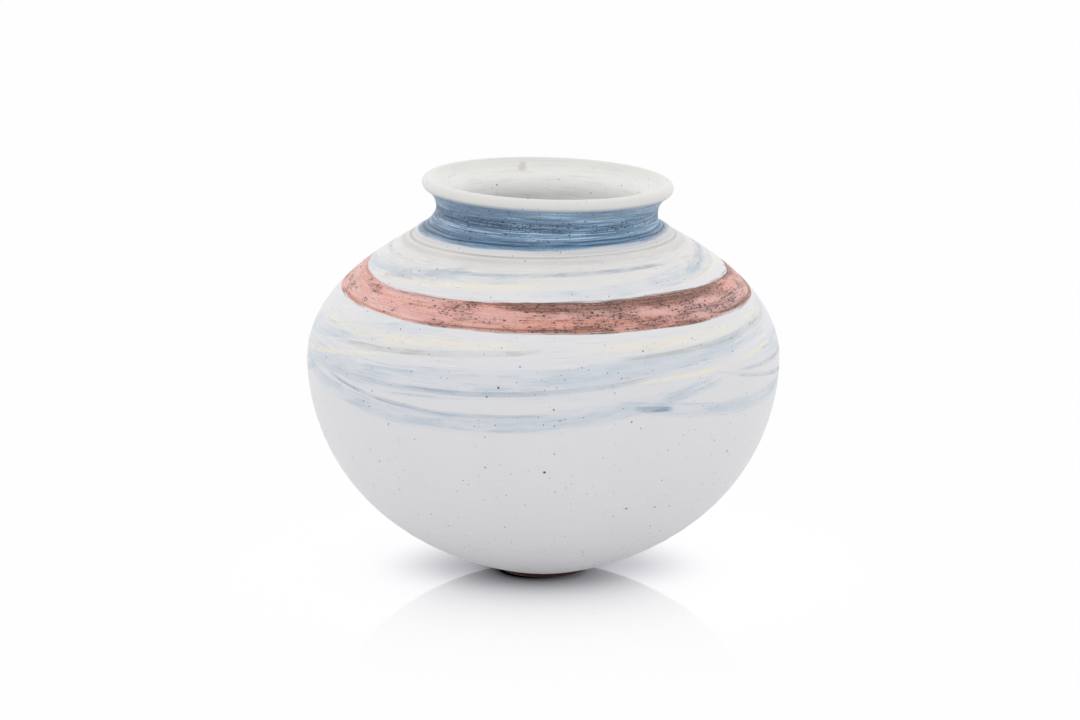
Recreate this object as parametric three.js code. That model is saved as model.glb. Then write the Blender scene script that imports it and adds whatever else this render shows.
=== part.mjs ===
// Pottery vase: a wide round body on a very small foot, a short waisted neck and a flared, rounded lip.
// It is made in thrown sections that are luted together with a tongue and groove, then fired as one,
// and stands on a felt pad that is glued under the foot.
// Millimetres, +Z up. The origin is on the vase's axis, on the surface that it stands on.

import * as THREE from 'three';

// Felt pad and its film of glue
const PAD_THICKNESS = 1.2;
const PAD_SETBACK = 0.3;
const PAD_ROUNDING = 0.3;
const GLUE_THICKNESS = 0.3;
const GLUE_SETBACK = 1.1;

// Body
const FOOT_RADIUS = 16.9;
const FOOT_ANGLE = 14.4;
const BELLY_RADIUS = 95;
const LOWER_BOWL_HEIGHT = 86.2;
const UPPER_BOWL_HEIGHT = 50.4;
const SHOULDER_SLOPE = 33.5;
const WALL = 5;

// How far each end of the two body curves keeps its own direction, as a part of the curve's span
const FOOT_FULLNESS = 0.96;
const UNDER_BELLY_FULLNESS = 0.173;
const OVER_BELLY_FULLNESS = 0.57;
const SHOULDER_FULLNESS = 0.18;

// Neck, with a raised ring at its foot
const WAIST_RADIUS = 44.4;
const COVE_RADIUS = 7;
const FLAT_ABOVE_RING = 2.1;
const RING_LENGTH = 4.6;
const RING_PROUD = 0.45;
const RING_SETBACK = 0.6;

// Lip
const LIP_OVERHANG = 6;
const LIP_ROUNDING = 2.6;
const LIP_RISE = 10.2;

// The thrown neck stands a little off the axis and leans towards +X, in degrees
const NECK_SHIFT = 1.3;
const NECK_LEAN = 1.7;

// Joints between the sections
const TONGUE_WIDTH = 1.6;
const TONGUE_HEIGHT = 1.5;
const SLIP_GAP = 0.3;

// Fineness of the model
const SIDES = 64;
const BODY_STEPS = 12;
const COVE_STEPS = 4;
const FLARE_STEPS = 5;
const RING_STEPS = 4;
const LIP_STEPS = 8;
const INSIDE_STEPS = 7;

const glazeWhite = { color: 0xe4e2de, roughness: 0.55, metalness: 0 };
const glazeBlue = { color: 0x8199b4, roughness: 0.5, metalness: 0 };
const glazeIvory = { color: 0xece9e1, roughness: 0.45, metalness: 0 };
const glueClear = { color: 0xd9cfa6, roughness: 0.3, metalness: 0 };
const feltBrown = { color: 0x5a2420, roughness: 0.95, metalness: 0 };

const radians = THREE.MathUtils.degToRad;
const point = (r, z) => new THREE.Vector2(r, z);

// Levels of the foot and of the joints in the body
const footZ = PAD_THICKNESS + GLUE_THICKNESS;
const bellyZ = footZ + LOWER_BOWL_HEIGHT;
const neckFootZ = bellyZ + UPPER_BOWL_HEIGHT;

// A straight run, which carries the ring, goes on up from the shoulder to where the cove of the neck begins
const slope = radians(SHOULDER_SLOPE);
const upSlope = point(-Math.cos(slope), Math.sin(slope));
const outOfSlope = point(Math.sin(slope), Math.cos(slope));
const run = RING_LENGTH + FLAT_ABOVE_RING;
const neckFootRadius = WAIST_RADIUS + COVE_RADIUS * (1 - outOfSlope.x) - run * upSlope.x;
const waistZ = neckFootZ + run * upSlope.y + COVE_RADIUS * outOfSlope.y;
const neckFoot = point(neckFootRadius, neckFootZ);
const coveCentre = point(WAIST_RADIUS + COVE_RADIUS, waistZ);

// The lip's edge is round in section. Outside, the neck flares up from its waist on an arc that runs
// smoothly into that edge, and inside, the throat does the same on a wider arc.
const lipCentre = point(WAIST_RADIUS + LIP_OVERHANG - LIP_ROUNDING, waistZ + LIP_RISE);
const flareRadius = radiusTouchingLip(WAIST_RADIUS, LIP_ROUNDING);
const throatRadius = radiusTouchingLip(WAIST_RADIUS - WALL, -LIP_ROUNDING);
const flareCentre = point(WAIST_RADIUS + flareRadius, waistZ);
const throatCentre = point(WAIST_RADIUS - WALL + throatRadius, waistZ);
const flareEnd = direction(flareCentre, lipCentre);
const throatEnd = direction(throatCentre, lipCentre);

// Radius of the arc that is upright at the waist and touches the lip's round edge, from outside it
// where side is the edge's radius, and from round it where side is that radius with a minus sign
function radiusTouchingLip(waistRadius, side) {
  const reach = lipCentre.x - waistRadius;
  return (reach ** 2 + LIP_RISE ** 2 - side ** 2) / (2 * (reach + side));
}

function direction(from, to) {
  return Math.atan2(to.y - from.y, to.x - from.x);
}

function arc(centre, radius, from, to, steps) {
  return new THREE.EllipseCurve(centre.x, centre.y, radius, radius, from, to, to < from).getPoints(steps);
}

// Points along a curve, moved sideways by a distance to the left of its direction
function beside(curve, distance, steps) {
  return curve.getPoints(steps).map((here, i) => {
    const along = curve.getTangent(i / steps);
    return point(here.x - along.y * distance, here.y + along.x * distance);
  });
}

// Radius of a rising line of points at a level
function radiusAt(line, z) {
  const next = line.findIndex((here, i) => i > 0 && (here.y >= z || i === line.length - 1));
  const below = line[next - 1];
  const above = line[next];
  return THREE.MathUtils.mapLinear(z, below.y, above.y, below.x, above.x);
}

// The part of a rising line of points that lies between two levels
function between(line, low, high) {
  const middle = line.filter((here) => here.y > low && here.y < high);
  return [point(radiusAt(line, low), low), ...middle, point(radiusAt(line, high), high)];
}

// Outline of the body, from the foot to the belly and on to the foot of the neck
const footReach = FOOT_FULLNESS * (BELLY_RADIUS - FOOT_RADIUS);
const footSlope = radians(FOOT_ANGLE);
const lowerCurve = new THREE.CubicBezierCurve(
  point(FOOT_RADIUS, footZ),
  point(FOOT_RADIUS + footReach * Math.cos(footSlope), footZ + footReach * Math.sin(footSlope)),
  point(BELLY_RADIUS, bellyZ - UNDER_BELLY_FULLNESS * LOWER_BOWL_HEIGHT),
  point(BELLY_RADIUS, bellyZ),
);
const shoulderReach = SHOULDER_FULLNESS * (BELLY_RADIUS - neckFootRadius);
const upperCurve = new THREE.CubicBezierCurve(
  point(BELLY_RADIUS, bellyZ),
  point(BELLY_RADIUS, bellyZ + OVER_BELLY_FULLNESS * UPPER_BOWL_HEIGHT),
  neckFoot.clone().addScaledVector(upSlope, -shoulderReach),
  neckFoot,
);
const lowerOutside = lowerCurve.getPoints(BODY_STEPS);
const upperOutside = upperCurve.getPoints(BODY_STEPS);

// Outline of the neck: the ring, the cove up to the waist, and the flare up to the lip
const ringStart = point(neckFootRadius - RING_SETBACK, neckFootZ);
const ringEnd = neckFoot.clone().addScaledVector(upSlope, RING_LENGTH);
const ringCrown = ringStart.clone().lerp(ringEnd, 0.5).addScaledVector(outOfSlope, 2 * RING_PROUD);
const coveStart = 1.5 * Math.PI - slope;
const neckOutside = [
  ...new THREE.QuadraticBezierCurve(ringStart, ringCrown, ringEnd).getPoints(RING_STEPS),
  ...arc(coveCentre, COVE_RADIUS, coveStart, Math.PI, COVE_STEPS),
  ...arc(flareCentre, flareRadius, Math.PI, flareEnd, FLARE_STEPS).slice(1),
];

// The lip's edge, from its underside round its outer side and over its crest to the throat
const lipEdge = arc(lipCentre, LIP_ROUNDING, flareEnd - Math.PI, throatEnd, LIP_STEPS);
const lipJointZ = lipEdge[0].y;

// Inside of the whole vase, one wall inside its outline
const inside = [
  ...beside(lowerCurve, WALL, INSIDE_STEPS),
  ...beside(upperCurve, WALL, INSIDE_STEPS).slice(1),
  ...arc(coveCentre, COVE_RADIUS + WALL, coveStart, Math.PI, COVE_STEPS),
  ...arc(throatCentre, throatRadius, Math.PI, throatEnd, FLARE_STEPS).slice(1),
];

// Middle of the wall over the depth of a joint, so that the tongue stays inside a slanting wall
function jointRadius(outside, z) {
  const grooveTop = z + TONGUE_HEIGHT + SLIP_GAP;
  const outerLimit = Math.min(radiusAt(outside, z), radiusAt(outside, grooveTop));
  const innerLimit = Math.max(radiusAt(inside, z), radiusAt(inside, grooveTop));
  return (outerLimit + innerLimit) / 2;
}

// A step up from a level and down again, crossed from one radius to another
function step(fromRadius, toRadius, z, height) {
  return [point(fromRadius, z), point(fromRadius, z + height), point(toRadius, z + height), point(toRadius, z)];
}

// The tongue stands on the lower piece and is crossed inwards
function tongue(radius, z) {
  const half = TONGUE_WIDTH / 2;
  return step(radius + half, radius - half, z, TONGUE_HEIGHT);
}

// The groove lies in the upper piece and is crossed outwards, with room for slip all round the tongue
function groove(radius, z) {
  const half = TONGUE_WIDTH / 2 + SLIP_GAP;
  return step(radius - half, radius + half, z, TONGUE_HEIGHT + SLIP_GAP);
}

const bellyJoint = jointRadius(upperOutside, bellyZ);
const neckJoint = jointRadius(neckOutside, neckFootZ);
const lipJoint = jointRadius(lipEdge, lipJointZ);

function lowerBowlOutline() {
  const floorZ = inside[0].y;
  const lining = between(inside, floorZ, bellyZ).reverse();
  return [point(0, footZ), ...lowerOutside, ...tongue(bellyJoint, bellyZ), ...lining, point(0, floorZ)];
}

// A ring-shaped section, up its outside, over its top, down its inside and back along its underside
function ringOutline(outside, top, low, high, underside) {
  const lining = between(inside, low, high).reverse();
  return [...outside, ...top, ...lining, ...underside, outside[0]];
}

function upperBowlOutline() {
  const top = tongue(neckJoint, neckFootZ);
  return ringOutline(upperOutside, top, bellyZ, neckFootZ, groove(bellyJoint, bellyZ));
}

// The collar stops a film of slip below the lip, because the joint between them leans
function neckCollarOutline() {
  const topZ = lipJointZ - SLIP_GAP;
  const outside = between(neckOutside, neckFootZ, topZ);
  return ringOutline(outside, tongue(lipJoint, topZ), neckFootZ, topZ, groove(neckJoint, neckFootZ));
}

function lipOutline() {
  const crestZ = inside.at(-1).y;
  return ringOutline(lipEdge.slice(0, -1), [], lipJointZ, crestZ, groove(lipJoint, lipJointZ));
}

function discOutline(radius, low, high, rounding) {
  const edge = rounding > 0 ? [point(radius, low + rounding), point(radius, high - rounding)] : [];
  return [point(0, low), point(radius - rounding, low), ...edge, point(radius - rounding, high), point(0, high)];
}

// Turns an outline about +Z
function turned(outline) {
  return new THREE.LatheGeometry(outline, SIDES).rotateX(Math.PI / 2);
}

// Moves and tilts everything above the ring, little by little up to the waist and then as one
function leant(geometry) {
  const places = geometry.attributes.position;
  const start = ringEnd.y;
  for (let i = 0; i < places.count; i += 1) {
    const x = places.getX(i);
    const rise = places.getZ(i) - start;
    const share = THREE.MathUtils.smoothstep(rise, 0, waistZ - start);
    const angle = radians(NECK_LEAN) * share;
    places.setX(i, x * Math.cos(angle) + rise * Math.sin(angle) + NECK_SHIFT * share);
    places.setZ(i, start + rise * Math.cos(angle) - x * Math.sin(angle));
  }
  geometry.computeVertexNormals();
  return geometry;
}

function piece(name, geometry, finish) {
  const mesh = new THREE.Mesh(geometry, new THREE.MeshStandardMaterial(finish));
  mesh.name = name;
  return mesh;
}

const padRadius = FOOT_RADIUS - PAD_SETBACK;
const glueRadius = FOOT_RADIUS - GLUE_SETBACK;

const vase = new THREE.Group();
vase.add(
  piece('felt_pad', turned(discOutline(padRadius, 0, PAD_THICKNESS, PAD_ROUNDING)), feltBrown),
  piece('pad_adhesive', turned(discOutline(glueRadius, PAD_THICKNESS, footZ, 0)), glueClear),
  piece('lower_bowl', turned(lowerBowlOutline()), glazeWhite),
  piece('upper_bowl', turned(upperBowlOutline()), glazeWhite),
  piece('neck_collar', leant(turned(neckCollarOutline())), glazeBlue),
  piece('rolled_lip', leant(turned(lipOutline())), glazeIvory),
);

export default vase;
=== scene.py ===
"""Looks of the thrown vase: its clay turned by Geometry Nodes, its glazes and brushed bands, the felt pad
and the light tent."""
import math
from typing import NamedTuple

import bpy
from bpy.props import FloatProperty, FloatVectorProperty, IntProperty, PointerProperty
from bpy.types import Operator, Panel, PropertyGroup
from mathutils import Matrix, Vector
from mathutils.geometry import interpolate_bezier


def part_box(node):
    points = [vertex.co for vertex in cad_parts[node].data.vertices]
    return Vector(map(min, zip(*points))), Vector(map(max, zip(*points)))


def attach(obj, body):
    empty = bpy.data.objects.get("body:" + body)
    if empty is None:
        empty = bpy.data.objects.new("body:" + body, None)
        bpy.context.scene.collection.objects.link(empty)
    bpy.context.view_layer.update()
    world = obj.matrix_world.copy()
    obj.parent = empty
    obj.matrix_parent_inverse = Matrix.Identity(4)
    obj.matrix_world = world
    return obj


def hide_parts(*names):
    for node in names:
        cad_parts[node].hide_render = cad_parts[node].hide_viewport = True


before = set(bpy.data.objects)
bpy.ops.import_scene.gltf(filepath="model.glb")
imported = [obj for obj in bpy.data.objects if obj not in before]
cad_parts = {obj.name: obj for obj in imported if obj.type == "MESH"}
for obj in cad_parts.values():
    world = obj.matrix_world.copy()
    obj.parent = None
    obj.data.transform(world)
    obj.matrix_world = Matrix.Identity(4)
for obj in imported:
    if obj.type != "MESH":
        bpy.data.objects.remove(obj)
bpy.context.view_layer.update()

bl_info = {
    "name": "Thrown Vase",
    "version": (1, 0, 0),
    "blender": (4, 5, 0),
    "location": "3D View > Sidebar > Vase",
    "description": "Builds a thrown vase with brushed bands on its packed sections, and its light tent",
    "category": "Object",
}

BODY = "root"
MM = 0.001
SENSOR_WIDTH = 36

foot_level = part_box("lower_bowl")[0].z
belly_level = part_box("upper_bowl")[0].z
neck_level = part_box("neck_collar")[0].z
belly_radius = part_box("lower_bowl")[1].x
pad_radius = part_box("felt_pad")[1].x
pad_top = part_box("felt_pad")[1].z
film_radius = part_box("pad_adhesive")[1].x


def fired(red, green, blue):
    """A colour given as a screen shows it, opaque and in linear light."""
    shares = [value / 255 for value in (red, green, blue)]
    return (*(s / 12.92 if s <= 0.04045 else ((s + 0.055) / 1.055) ** 2.4 for s in shares), 1.0)


def length_setting(name, default, description):
    return FloatProperty(name=name, description=description, default=default, unit="LENGTH")


def angle_setting(name, degrees, description):
    return FloatProperty(name=name, description=description, default=math.radians(degrees), subtype="ANGLE")


def light_setting(name, default, description):
    return FloatProperty(name=name, description=description, default=default, min=0)


def colour_setting(name, default, description):
    return FloatVectorProperty(
        name=name, description=description, default=default, subtype="COLOR", size=4, min=0, max=1
    )


class VaseSizes(PropertyGroup):
    """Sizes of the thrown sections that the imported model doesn't state as a box."""

    wall: length_setting("Wall", 5 * MM, "Thickness of the clay")
    foot_radius: length_setting("Foot radius", pad_radius + 0.3 * MM, "Radius of the flat foot")
    foot_slope: angle_setting("Foot slope", 14.4, "Rise of the bowl where it leaves the foot")
    shoulder_slope: angle_setting("Shoulder slope", 33.5, "Slope of the shoulder at the foot of the neck")
    waist_radius: length_setting("Waist radius", 44.4 * MM, "Least outer radius of the neck")
    cove_radius: length_setting("Cove radius", 7 * MM, "Radius of the hollow below the waist")
    flat_above_ring: length_setting("Flat above ring", 2.1 * MM, "Straight run from the ring to the cove")
    ring_length: length_setting("Ring length", 4.6 * MM, "Length of the ring at the foot of the neck")
    ring_proud: length_setting("Ring proud", 0.45 * MM, "How far the ring stands out")
    ring_setback: length_setting("Ring setback", 0.6 * MM, "Depth of the groove under the ring")
    lip_overhang: length_setting("Lip overhang", 6 * MM, "How far the lip reaches out past the waist")
    lip_rounding: length_setting("Lip rounding", 2.6 * MM, "Radius of the lip's round edge")
    lip_rise: length_setting("Lip rise", 10.2 * MM, "Height of the lip's edge above the waist")
    neck_shift: length_setting("Neck shift", 1.3 * MM, "How far the neck stands off the axis")
    neck_lean: angle_setting("Neck lean", 1.7, "Lean of the neck towards +X")
    tongue_width: length_setting("Tongue width", 1.6 * MM, "Width of the tongue of each luted joint")
    tongue_height: length_setting("Tongue height", 1.5 * MM, "Height of that tongue")
    slip_gap: length_setting("Slip gap", 0.3 * MM, "Room for slip round the tongue")
    ring_pitch: length_setting("Throwing pitch", 7.5 * MM, "Distance between throwing rings")
    outside_rings: length_setting("Outside rings", 0.035 * MM, "Height of the throwing rings outside")
    inside_rings: length_setting("Inside rings", 0.22 * MM, "Height of the throwing rings inside")
    waver: length_setting("Waver", 0.3 * MM, "How far the wall strays from a true turned form")
    sides: IntProperty(name="Sides", description="Faces round the vase", default=256, min=16)


class GlazeLook(PropertyGroup):
    """Colours of the glazes and of the brushed slips."""

    white: colour_setting("White glaze", fired(217, 217, 220), "Satin glaze of the body")
    ivory: colour_setting("Ivory glaze", fired(215, 214, 211), "Warmer glaze of the lip")
    lining: colour_setting("Lining glaze", fired(247, 247, 245), "Pale glaze of the inside")
    # The rim glaze is painted shade: a darker ivory laid at the top of the throat
    rim: colour_setting("Rim glaze", fired(213, 212, 208), "Thin glaze at the top of the throat")
    blue: colour_setting("Neck blue", fired(102, 145, 178), "Brushed oxide of the neck")
    navy: colour_setting("Neck navy", fired(26, 64, 98), "Where the blue oxide lies thick")
    salmon: colour_setting("Band salmon", fired(216, 145, 125), "Brushed slip of the shoulder band")
    rose: colour_setting("Band rose", fired(206, 160, 156), "Cooler strokes in the shoulder band")
    rust: colour_setting("Band rust", fired(100, 58, 46), "Where iron shows through the shoulder band")
    iron: colour_setting("Iron", fired(38, 38, 48), "Iron specks")


class TentLook(PropertyGroup):
    """The light tent and the camera."""

    above: light_setting("Light from above", 1.16, "Brightness of the tent overhead")
    around: light_setting("Light from the front", 0.87, "Brightness of the tent round the camera")
    behind: light_setting("Light from behind", 1.18, "Brightness of the tent behind the vase")
    elevation: angle_setting("Camera elevation", 12, "How far the camera looks down")
    distance: length_setting("Camera distance", 2.415, "From the camera to the point that it looks at")
    aim: FloatVectorProperty(
        name="Camera aim", description="The point that the camera looks at",
        default=(-1.33 * MM, 0, 86 * MM), subtype="TRANSLATION", unit="LENGTH", size=3,
    )
    lens: FloatProperty(
        name="Lens", description="Focal length in millimetres on a 36 mm frame", default=200, min=1
    )


# Node trees


class Wire:
    """The value that a node puts out, so that a sum of values is written as a sum."""

    def __init__(self, board, socket):
        self.board = board
        self.socket = socket

    def __add__(self, other):
        return self.board.math("ADD", self, other)

    def __radd__(self, other):
        return self.board.math("ADD", other, self)

    def __sub__(self, other):
        return self.board.math("SUBTRACT", self, other)

    def __rsub__(self, other):
        return self.board.math("SUBTRACT", other, self)

    def __mul__(self, other):
        return self.board.math("MULTIPLY", self, other)

    def __rmul__(self, other):
        return self.board.math("MULTIPLY", other, self)

    def __truediv__(self, other):
        return self.board.math("DIVIDE", self, other)

    def __rtruediv__(self, other):
        return self.board.math("DIVIDE", other, self)

    def __abs__(self):
        return self.board.math("ABSOLUTE", self)


class Board:
    """A node tree, with short ways to add nodes to it."""

    def __init__(self, tree):
        self.tree = tree

    def fill(self, socket, value):
        """Gives a socket a wire, what a node puts out first, or a plain value."""
        if isinstance(value, bpy.types.Node):
            value = self.wire(value)
        if isinstance(value, Wire):
            self.tree.links.new(value.socket, socket)
        else:
            socket.default_value = value

    def node(self, kind, inputs=None, **settings):
        made = self.tree.nodes.new(kind)
        for name, value in settings.items():
            setattr(made, name, value)
        for key, value in (inputs or {}).items():
            self.fill(made.inputs[key], value)
        return made

    def wire(self, node, key=0):
        return Wire(self, node.outputs[key])

    def out(self, kind, inputs=None, key=0, **settings):
        """Adds a node and returns what it puts out."""
        return self.wire(self.node(kind, inputs, **settings), key)

    def math(self, operation, *values, clamp=False):
        return self.out("ShaderNodeMath", dict(enumerate(values)), operation=operation, use_clamp=clamp)

    def sine(self, angle):
        return self.math("SINE", angle)

    def cosine(self, angle):
        return self.math("COSINE", angle)

    def larger(self, one, other):
        return self.math("MAXIMUM", one, other)

    def ease(self, value, start, end):
        """0 up to start, 1 from end on, and a smooth way between them."""
        inputs = {"Value": value, "From Min": start, "From Max": end}
        return self.out("ShaderNodeMapRange", inputs, interpolation_type="SMOOTHSTEP")

    def between(self, share, low, high):
        return self.out("ShaderNodeMix", {0: share, 2: low, 3: high}, data_type="FLOAT")

    def tint(self, share, under, over, way="MIX"):
        inputs = {0: share, 6: under, 7: over}
        return self.out("ShaderNodeMix", inputs, 2, data_type="RGBA", blend_type=way, clamp_factor=True)

    def blend(self, share, one, other):
        """A shader between two others."""
        return self.node("ShaderNodeMixShader", {0: share, 1: one, 2: other})

    def vector(self, x, y, z):
        return self.out("ShaderNodeCombineXYZ", {"X": x, "Y": y, "Z": z})

    def ring(self, turn, radius, across):
        """A place on a ring, where a pattern that goes round the vase closes without a seam."""
        return self.vector(self.sine(turn) * radius, self.cosine(turn) * radius, across)

    def parts(self, vector):
        made = self.node("ShaderNodeSeparateXYZ", {0: vector})
        return [self.wire(made, key) for key in range(3)]

    def scaled(self, vector, scale):
        return self.out("ShaderNodeVectorMath", {0: vector, "Scale": scale}, operation="SCALE")

    def noise(self, vector, scale, detail=2.0, roughness=0.5, distortion=0.0):
        return self.out("ShaderNodeTexNoise", {
            "Vector": vector, "Scale": scale, "Detail": detail, "Roughness": roughness,
            "Distortion": distortion,
        }, noise_dimensions="3D")

    def use(self, make, inputs):
        """Places the shader group that a function makes, and returns what it puts out, by name."""
        made = self.node("ShaderNodeGroup", inputs, node_tree=tree_of(make))
        return {socket.name: Wire(self, socket) for socket in made.outputs}


class Group(Board):
    """A node group with named inputs and outputs."""

    def __init__(self, name, kind, inputs, outputs):
        super().__init__(bpy.data.node_groups.new(name, kind))
        for label, socket, value in inputs:
            made = self.tree.interface.new_socket(label, in_out="INPUT", socket_type=socket)
            if value is not None:
                made.default_value = value
        for label, socket in outputs:
            self.tree.interface.new_socket(label, in_out="OUTPUT", socket_type=socket)
        self.start = self.node("NodeGroupInput")
        self.end = self.node("NodeGroupOutput")

    def given(self, label):
        return self.wire(self.start, label)

    def give(self, label, value):
        self.fill(self.end.inputs[label], value)


NUMBER = "NodeSocketFloat"
WHOLE = "NodeSocketInt"
PLACE = "NodeSocketVector"
COLOUR = "NodeSocketColor"
SHAPE = "NodeSocketGeometry"
FINISH = "NodeSocketMaterial"


# Section of the vase


# How far each end of the two body curves keeps its own direction, as a part of the curve's span
FOOT_FULLNESS = 0.96
UNDER_BELLY_FULLNESS = 0.173
OVER_BELLY_FULLNESS = 0.57
SHOULDER_FULLNESS = 0.18
# Points along the two body curves, and steps along the other lines
LOWER_POINTS = 131
UPPER_POINTS = 91
FLAT_STEPS = 8
ROUNDING_STEPS = 4
DISHED_STEPS = 16
RING_STEPS = 16
COVE_STEPS = 26
FLARE_STEPS = 22
EDGE_STEPS = 48
LINING_COVE_STEPS = 20
THROAT_STEPS = 24
# Where the dished floor inside meets the wall, and how much deeper it is in the middle
DISHED_RADIUS = 26 * MM
DISHED_DEPTH = 0.2 * MM
# The way over which the hand's unevenness comes in, away from what has to fit or look even
FOOT_CALM = 8 * MM
SHOULDER_CALM = 5 * MM
RING_CALM = 2 * MM
LIP_CALM = 2 * MM
JOINT_CALM = 3 * MM
WAIST_CALM = 4 * MM
AXIS_CALM = (2 * MM, 14 * MM)
# Levels closer than this count as one
MARGIN = 0.01 * MM


class Mark(NamedTuple):
    """A point of a section: radius and level, the way that the clay faces, the distance along the line, how
    much of the hand's unevenness it takes, and 1 where it is inside."""

    place: Vector
    facing: Vector
    along: float
    relief: float
    inner: float


def eased(value, start, end):
    share = min(max((value - start) / (end - start), 0), 1)
    return share * share * (3 - 2 * share)


def arc(centre, radius, start, end, steps):
    angles = [start + (end - start) * i / steps for i in range(steps + 1)]
    return [centre + radius * Vector((math.cos(a), math.sin(a))) for a in angles]


def straight(start, end, steps):
    return [start.lerp(end, i / steps) for i in range(steps + 1)]


def ways_out(points, side):
    """Unit vectors square to a line of points, to its right where side is 1, to its left where it is -1."""
    ways = []
    for i in range(len(points)):
        way = points[min(i + 1, len(points) - 1)] - points[max(i - 1, 0)]
        ways.append(Vector((way.y, -way.x)).normalized() * side)
    return ways


def beside(points, distance):
    """A line of points moved to its left."""
    return [here - way * distance for here, way in zip(points, ways_out(points, 1))]


def marked(points, side, inner, relief):
    """Turns a rising line of points into marks. relief gives the share of unevenness at a point."""
    made = []
    along = 0.0
    for i, (here, facing) in enumerate(zip(points, ways_out(points, side))):
        along += (here - points[i - 1]).length if i else 0
        made.append(Mark(here, facing, along, relief(here), inner))
    return made


def mark_at(line, level):
    """The mark where a rising line of marks reaches a level."""
    after = next((i for i, m in enumerate(line) if i and m.place.y >= level), len(line) - 1)
    low, high = line[after - 1], line[after]
    share = (level - low.place.y) / (high.place.y - low.place.y)
    place = low.place.lerp(high.place, share)
    facing = low.facing.lerp(high.facing, share).normalized()
    along = low.along + (high.along - low.along) * share
    relief = low.relief + (high.relief - low.relief) * share
    return Mark(Vector((place.x, level)), facing, along, relief, low.inner)


def part_of(line, low, high):
    """The marks of a rising line that lie between two levels."""
    middle = [m for m in line if low + MARGIN < m.place.y < high - MARGIN]
    return [mark_at(line, low), *middle, mark_at(line, high)]


def hidden(radius, level, inner):
    """A mark in a joint, which the hand's unevenness doesn't move."""
    return Mark(Vector((radius, level)), Vector((0, 0)), 0, 0, inner)


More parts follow.
